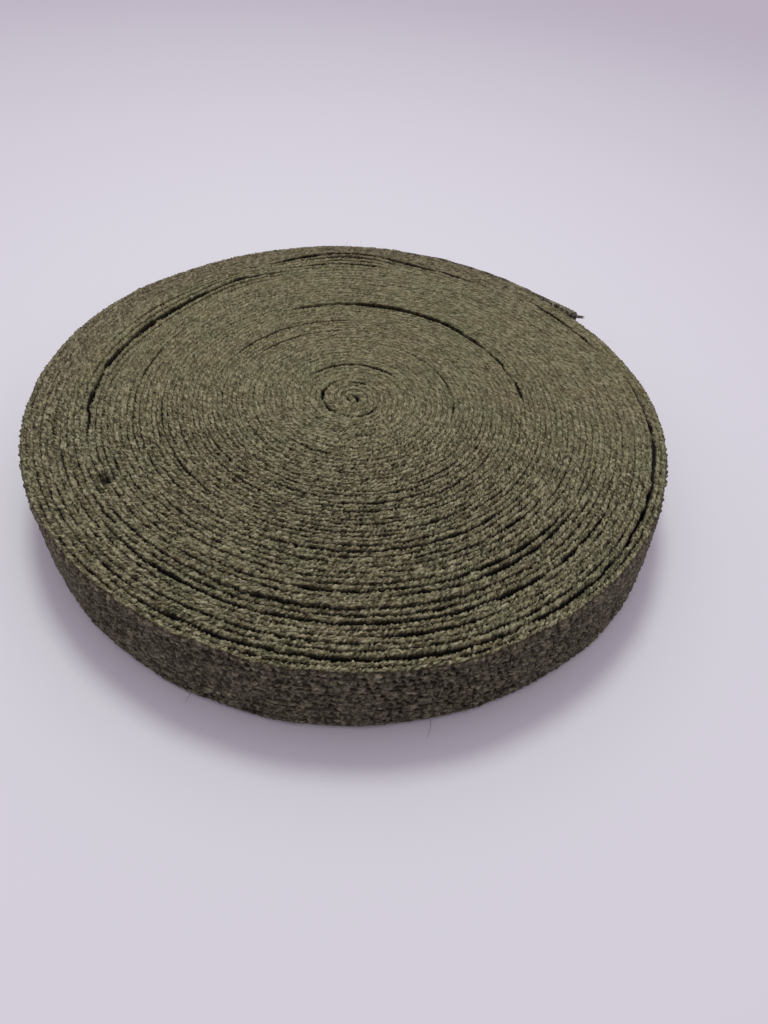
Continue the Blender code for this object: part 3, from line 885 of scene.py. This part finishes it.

# %% [markdown]
# ## Colour and cloth
# The yarn is a heathered olive: single fibres of green, brown and grey lie side by side. One flat colour
# would look like plastic. The colour is mixed from a broad cloud, a fine speckle and a tone for each
# grain, with painted shade where fibres lie deep between beads, in the weave's pits and down the turns'
# sides.
# The class below lets the mixing be written as sums and products of numbers on wires.


# %% Arithmetic on sockets
class Wire:
    """A number that varies over the surface. Sums and products of it add Math nodes."""

    def __init__(self, bench, socket):
        self.bench, self.socket = bench, socket

    def join(self, operation, first, second):
        return self.bench.node("ShaderNodeMath", {"operation": operation}, {0: first, 1: second})

    def __add__(self, other):
        return self.join("ADD", self, other)

    def __sub__(self, other):
        return self.join("SUBTRACT", self, other)

    def __rsub__(self, other):
        return self.join("SUBTRACT", other, self)

    def __mul__(self, other):
        return self.join("MULTIPLY", self, other)

    def __pow__(self, other):
        return self.join("POWER", self, other)

    __radd__ = __add__
    __rmul__ = __mul__


class Bench:
    """Where the nodes of one material, or of the room's light, are put together."""

    def __init__(self, block, shader="Principled BSDF"):
        block.use_nodes = True
        self.block, self.tree = block, block.node_tree
        self.shader = self.tree.nodes[shader]

    def node(self, kind, settings=None, inputs=None, output=0):
        made = self.tree.nodes.new(kind)
        for name, value in (settings or {}).items():
            setattr(made, name, value)
        for name, value in (inputs or {}).items():
            self.plug(made.inputs[name], value)
        return Wire(self, made.outputs[output])

    def plug(self, socket, value):
        if isinstance(value, Wire):
            self.tree.links.new(value.socket, socket)
        else:
            socket.default_value = value

    def feed(self, name, value):
        self.plug(self.shader.inputs[name], value)

    def mark(self, name):
        return self.node("ShaderNodeAttribute", {"attribute_name": name}, output="Fac")

    def noise(self, scale, detail=2.0, roughness=0.5, place=None):
        place = place or self.node("ShaderNodeTexCoord", output="Object")
        inputs = {"Vector": place, "Scale": scale, "Detail": detail, "Roughness": roughness}
        return self.node("ShaderNodeTexNoise", inputs=inputs, output="Fac")

    def spread(self, value, low, high):
        """Stretches low..high to 0..1 and clips the rest."""
        inputs = {"Value": value, "From Min": low, "From Max": high}
        return self.node("ShaderNodeMapRange", {"clamp": True}, inputs)

    def mix(self, factor, first, second):
        return self.node("ShaderNodeMix", {"data_type": "RGBA"}, {0: factor, 6: first, 7: second}, output=2)


# %% The wool
GREEN_OLIVE = (0.136, 0.139, 0.062, 1.0)
BROWN_OLIVE = (0.168, 0.136, 0.066, 1.0)
UMBER = (0.112, 0.086, 0.048, 1.0)
# The woven face: greyer than the edges, and darker as painted shade, since the outer wall faces away from the
# light.
GREY_OLIVE = (0.102, 0.089, 0.064, 1.0)
GREY_UMBER = (0.104, 0.083, 0.061, 1.0)
# pale fibres, and the colour of painted highlights on the yarn and the hairs
PALE_FIBRE_AND_HIGHLIGHT = (0.43, 0.40, 0.245, 1.0)
# dark fibres, and the colour of painted shade in the valleys between beads
DEEP_FIBRE_AND_SHADE = (0.026, 0.022, 0.010, 1.0)
# near black: painted shade deep in grooves, pits and gaps
PAINTED_GROOVE_SHADE = (0.003, 0.0025, 0.0012, 1.0)
WOOL_ROUGHNESS = 0.92
# how strongly painted shade darkens the valleys, the pits and the deep places
VALLEY_SHARE, PIT_SHARE, DEPTH_SHARE = 0.95, 0.92, 0.97
BROWNER_SHARE = 0.7
CLOUD_BROAD, CLOUD_FINE, SPECKLE, FIBRE = 75.0, 430.0, 2300.0, 5200.0  # grains in a metre
# From where, to where, how much and which fibre is mixed in. Pale and dark fibres lie at random, and
# they also stand in for painted highlights and shade on the small loops of the yarn.
FLECKS = ((0.50, 0.62, 0.85, PALE_FIBRE_AND_HIGHLIGHT), (0.49, 0.37, 0.95, DEEP_FIBRE_AND_SHADE))
SPECKLES = ((0.54, 0.68, 0.42, PALE_FIBRE_AND_HIGHLIGHT), (0.47, 0.33, 0.70, DEEP_FIBRE_AND_SHADE))
TONES = ((0.55, 1.0, 0.28, PALE_FIBRE_AND_HIGHLIGHT), (0.45, 0.0, 0.45, DEEP_FIBRE_AND_SHADE))
BUMP_STRENGTH, BUMP_DEPTH = 0.8, 0.18 * MM
SPECULAR, SHEEN, SHEEN_ROUGHNESS = 0.15, 0.04, 0.5


def wool(name, shades, contrast, fleck_along, fleck_across):
    """Heathered olive yarn of two shades. The contrast says how much the single fibres differ, the flecks
    how many of them follow one another, and lie side by side, in a metre."""
    bench = Bench(bpy.data.materials.new(name))
    cloud = bench.noise(CLOUD_BROAD, 3.0, 0.6) * 0.5 + bench.noise(CLOUD_FINE, 2.0, 0.6) * 0.5
    cloud = bench.spread(cloud, 0.38, 0.62)
    colour = bench.mix(cloud, *shades)
    # the outer turns behind and to the left are mixed browner and darker
    colour = bench.mix(bench.mark("browner_outer_turns") * BROWNER_SHARE, colour, UMBER)
    strand = bench.node("ShaderNodeAttribute", {"attribute_name": "strand"}, output="Vector")
    scale = (fleck_along, fleck_across, fleck_across)
    lie = bench.node("ShaderNodeVectorMath", {"operation": "MULTIPLY"}, {0: strand, 1: scale})
    fleck = bench.noise(1.0, 3.0, 0.6, lie)
    speckle = bench.noise(SPECKLE, 2.0, 0.6)
    strength = bench.mark("slack")
    for low, high, share, fibre in FLECKS:
        colour = bench.mix(bench.spread(fleck, low, high) * (share * contrast) * strength, colour, fibre)
    for low, high, share, fibre in SPECKLES:
        colour = bench.mix(bench.spread(speckle, low, high) * share * strength, colour, fibre)
    tone = bench.mark("tone")
    for low, high, share, fibre in TONES:
        colour = bench.mix(bench.spread(tone, low, high) * (share * contrast), colour, fibre)
    # Painted shade: darker in valleys between beads and pits of the weave, near black down the sides of the
    # turns, in the dent and where turns part.
    valley = bench.mark("valley")
    colour = bench.mix(valley ** 1.5 * VALLEY_SHARE * strength, colour, DEEP_FIBRE_AND_SHADE)
    colour = bench.mix(valley ** 2.5 * PIT_SHARE * strength, colour, PAINTED_GROOVE_SHADE)
    colour = bench.mix(bench.mark("depth") ** 0.7 * DEPTH_SHARE, colour, PAINTED_GROOVE_SHADE)
    bench.feed("Base Color", colour)
    height = fleck * 0.6 + bench.noise(FIBRE, 2.0, 0.7) * 0.6
    bump = {"Strength": BUMP_STRENGTH, "Distance": BUMP_DEPTH, "Height": height}
    bump = bench.node("ShaderNodeBump", inputs=bump)
    bench.feed("Normal", bump)
    bench.feed("Roughness", WOOL_ROUGHNESS - 0.10 * bench.spread(speckle, 0.3, 0.7))
    bench.feed("Specular IOR Level", SPECULAR)
    bench.feed("Sheen Weight", SHEEN)
    bench.feed("Sheen Roughness", SHEEN_ROUGHNESS)
    return bench.block


def hair_wool():
    """Single hairs: olive, with painted highlights: paler in patches at random."""
    bench = Bench(bpy.data.materials.new("hair_wool"))
    shade = bench.spread(bench.noise(900.0), 0.35, 0.65)
    bench.feed("Base Color", bench.mix(shade, BROWN_OLIVE, PALE_FIBRE_AND_HIGHLIGHT))
    bench.feed("Roughness", 0.7)
    return bench.block


edge_wool = wool("edge_wool", (GREEN_OLIVE, BROWN_OLIVE), 1.0, 1300.0, 2800.0)
face_wool = wool("face_wool", (GREY_OLIVE, GREY_UMBER), 0.65, 700.0, 3000.0)
hairs = hair_wool()
for piece in [*edge_pieces, under_piece]:
    piece.data.materials.append(edge_wool)
for piece in (wall_piece, loose_piece, frayed_piece, hair_pieces[1]):
    piece.data.materials.append(face_wool)
hair_pieces[0].data.materials.append(hairs)
print("materials:", edge_wool.name, face_wool.name, hairs.name)

# %% [markdown]
# ## Say what each piece stands for
# The imported roll has two solids, and nothing on it moves. Every piece rides on its one body and takes
# the finish of its one material slot. The loose end is a sheet: 15 mm of tape, laid on the roll.

# %% Ride and replace
for piece in [*edge_pieces, under_piece, wall_piece, *hair_pieces]:
    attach(piece, "root")
    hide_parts("wound_roll")
for piece in (loose_piece, frayed_piece):
    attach(piece, "root")
    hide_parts("loose_end")

# %% [markdown]
# ## Floor, light and camera
# The roll lies on a pale, faintly violet surface under a soft light from above and behind, so its
# front wall is in shade and its shadow falls towards the viewer. The camera looks down at about 46
# degrees from close by, which makes the front of the roll look larger than the back.

# %% Floor
FLOOR_SIDE = 3.0
FLOOR_COLOUR = (0.62, 0.615, 0.63, 1.0)
FLOOR_ROUGHNESS, FLOOR_SPECULAR = 0.65, 0.3


def add_floor():
    half = 0.5 * FLOOR_SIDE
    mesh = bpy.data.meshes.new("floor")
    corners = [(-half, -half, 0), (half, -half, 0), (half, half, 0), (-half, half, 0)]
    mesh.from_pydata(corners, [], [(0, 1, 2, 3)])
    floor = bpy.data.objects.new("floor", mesh)
    bpy.context.scene.collection.objects.link(floor)
    bench = Bench(bpy.data.materials.new("pale_floor"))
    bench.feed("Base Color", FLOOR_COLOUR)
    bench.feed("Roughness", FLOOR_ROUGHNESS)
    bench.feed("Specular IOR Level", FLOOR_SPECULAR)
    mesh.materials.append(bench.block)


add_floor()


# %% Light
LAMP_PLACE = (-0.06, 0.25, 0.645)
LAMP_SIZE = 0.18
LAMP_POWER = 0.23
LAMP_SPREAD = 60.0
LAMP_COLOUR = (0.88, 1.0, 0.92)
ROOM_COLOUR = (0.95, 0.845, 1.0, 1.0)
ROOM_AT_HORIZON, ROOM_ABOVE, ROOM_BEHIND = 0.12, 1.16, 0.3


def add_light():
    data = bpy.data.lights.new("window", "AREA")
    data.shape, data.size, data.energy, data.color = "DISK", LAMP_SIZE, LAMP_POWER, LAMP_COLOUR
    data.spread = math.radians(LAMP_SPREAD)
    light = bpy.data.objects.new("window", data)
    light.location = LAMP_PLACE
    light.rotation_euler = (-Vector(LAMP_PLACE)).to_track_quat("-Z", "Y").to_euler()
    bpy.context.scene.collection.objects.link(light)
    world = bpy.data.worlds.new("soft_room")
    bench = Bench(world, "Background")
    direction = bench.node("ShaderNodeTexCoord", output="Generated")
    upwards = bench.node("ShaderNodeSeparateXYZ", inputs={"Vector": direction}, output="Z")
    behind = bench.node("ShaderNodeSeparateXYZ", inputs={"Vector": direction}, output="Y")
    strength = bench.spread(upwards, 0.0, 1.0) * (ROOM_ABOVE - ROOM_AT_HORIZON) + ROOM_AT_HORIZON
    strength = strength * (behind * ROOM_BEHIND + 1.0)
    bench.feed("Color", ROOM_COLOUR)
    bench.feed("Strength", strength)
    bpy.context.scene.world = world


add_light()

# %% Camera
CAMERA_PLACE = (0.00747, -0.11323, 0.10467)
CAMERA_PITCH, CAMERA_ROLL = 43.97, 5.63
CAMERA_LENS, CAMERA_SENSOR = 28.125, 36.0

camera_data = bpy.data.cameras.new("camera")
camera_data.lens, camera_data.sensor_width = CAMERA_LENS, CAMERA_SENSOR
camera_data.clip_start = 0.005
camera = bpy.data.objects.new("camera", camera_data)
camera.location = CAMERA_PLACE
pitched = Euler((math.radians(CAMERA_PITCH), 0, 0)).to_matrix()
rolled = Euler((0, 0, math.radians(CAMERA_ROLL))).to_matrix()
camera.rotation_euler = (pitched @ rolled).to_euler()
bpy.context.scene.collection.objects.link(camera)
bpy.context.scene.camera = camera
bpy.context.scene.view_settings.view_transform = "Standard"
bpy.context.scene.view_settings.look = "None"
